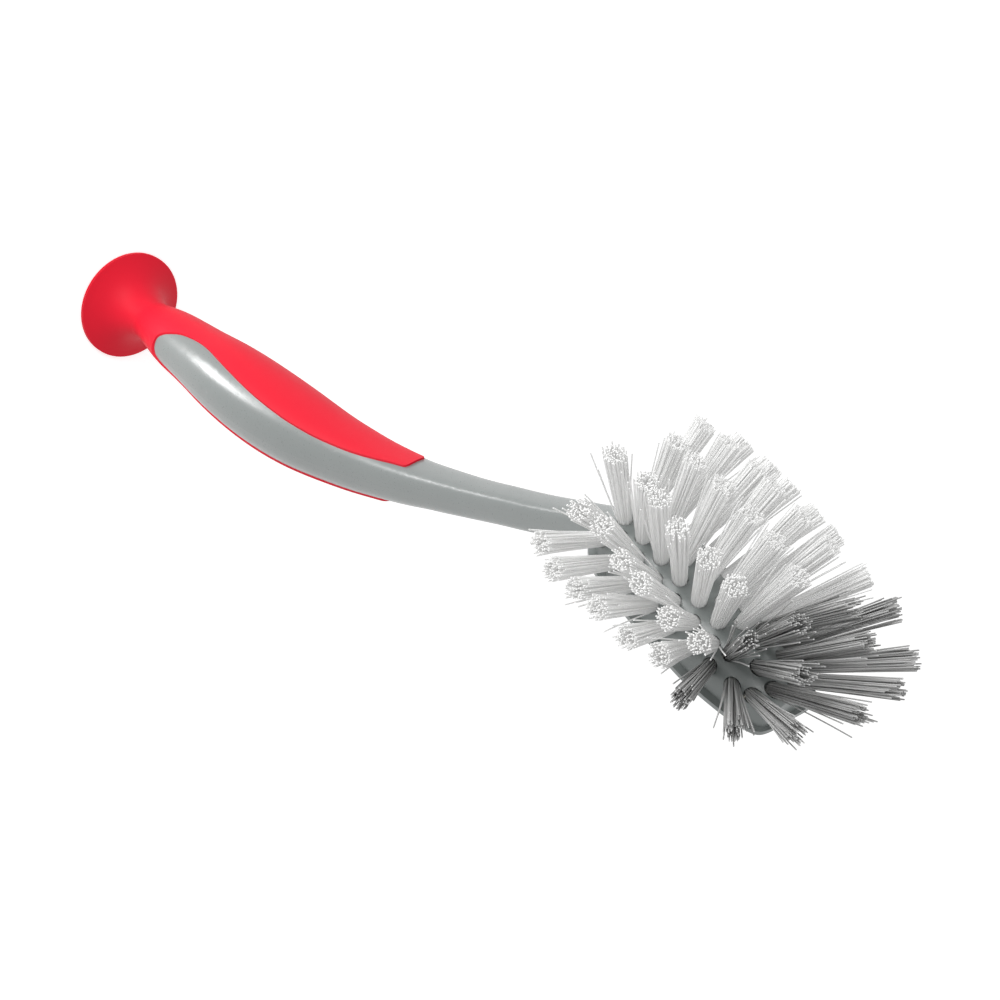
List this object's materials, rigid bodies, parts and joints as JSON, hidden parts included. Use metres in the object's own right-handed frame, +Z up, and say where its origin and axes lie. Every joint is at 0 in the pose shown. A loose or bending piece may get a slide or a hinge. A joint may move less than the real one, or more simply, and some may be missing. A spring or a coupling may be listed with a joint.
{
  "type": "dish brush",
  "caption": "Long dish brush with a bowed handle, soft grip strips, a suction foot to stand on and a domed head with a fan of bristle tufts.",
  "frame": {"origin": "centre of the suction foot's rim, on the plane that the brush stands on", "axes": "+Z up from the foot towards the head; -Y is the side that the bristles face; +X is to the brush's left when the bristles face the viewer's way"},
  "size_m": [0.061, 0.0719, 0.2966],
  "materials": {
    "core_grey": "satin moulded polypropylene",
    "soft_red": "satin soft moulded elastomer",
    "white_nylon": "cut nylon filaments",
    "grey_nylon": "cut nylon filaments",
    "anchor_metal": "cut flat wire"
  },
  "bodies": {
    "root": {"handle_core": "core_grey", "suction_grip": "soft_red", "tuft_anchors": "anchor_metal", "white_tuft_a1": "white_nylon", "white_tuft_a2": "white_nylon", "white_tuft_a3": "white_nylon", "white_tuft_a4": "white_nylon", "white_tuft_a5": "white_nylon", "white_tuft_a6": "white_nylon", "white_tuft_b1": "white_nylon", "white_tuft_b2": "white_nylon", "white_tuft_b3": "white_nylon", "white_tuft_b4": "white_nylon", "white_tuft_b5": "white_nylon", "white_tuft_b6": "white_nylon", "white_tuft_c1": "white_nylon", "white_tuft_c2": "white_nylon", "white_tuft_c3": "white_nylon", "white_tuft_c4": "white_nylon", "white_tuft_c5": "white_nylon", "white_tuft_c6": "white_nylon", "white_tuft_d1": "white_nylon", "white_tuft_d2": "white_nylon", "white_tuft_d3": "white_nylon", "white_tuft_d4": "white_nylon", "white_tuft_d5": "white_nylon", "white_tuft_d6": "white_nylon", "white_tuft_e1": "white_nylon", "white_tuft_e2": "white_nylon", "white_tuft_e3": "white_nylon", "white_tuft_e4": "white_nylon", "white_tuft_e5": "white_nylon", "white_tuft_e6": "white_nylon", "white_tuft_f1": "white_nylon", "white_tuft_f2": "white_nylon", "white_tuft_f3": "white_nylon", "white_tuft_f4": "white_nylon", "white_tuft_f5": "white_nylon", "white_tuft_f6": "white_nylon", "grey_tuft_a7": "grey_nylon", "grey_tuft_a8": "grey_nylon", "grey_tuft_a9": "grey_nylon", "grey_tuft_b7": "grey_nylon", "grey_tuft_c8": "grey_nylon", "grey_tuft_c9": "grey_nylon", "grey_tuft_d7": "grey_nylon", "grey_tuft_d9": "grey_nylon", "grey_tuft_e7": "grey_nylon", "grey_tuft_e8": "grey_nylon", "grey_tuft_f7": "grey_nylon", "grey_tuft_f8": "grey_nylon"}
  },
  "joints": []
}
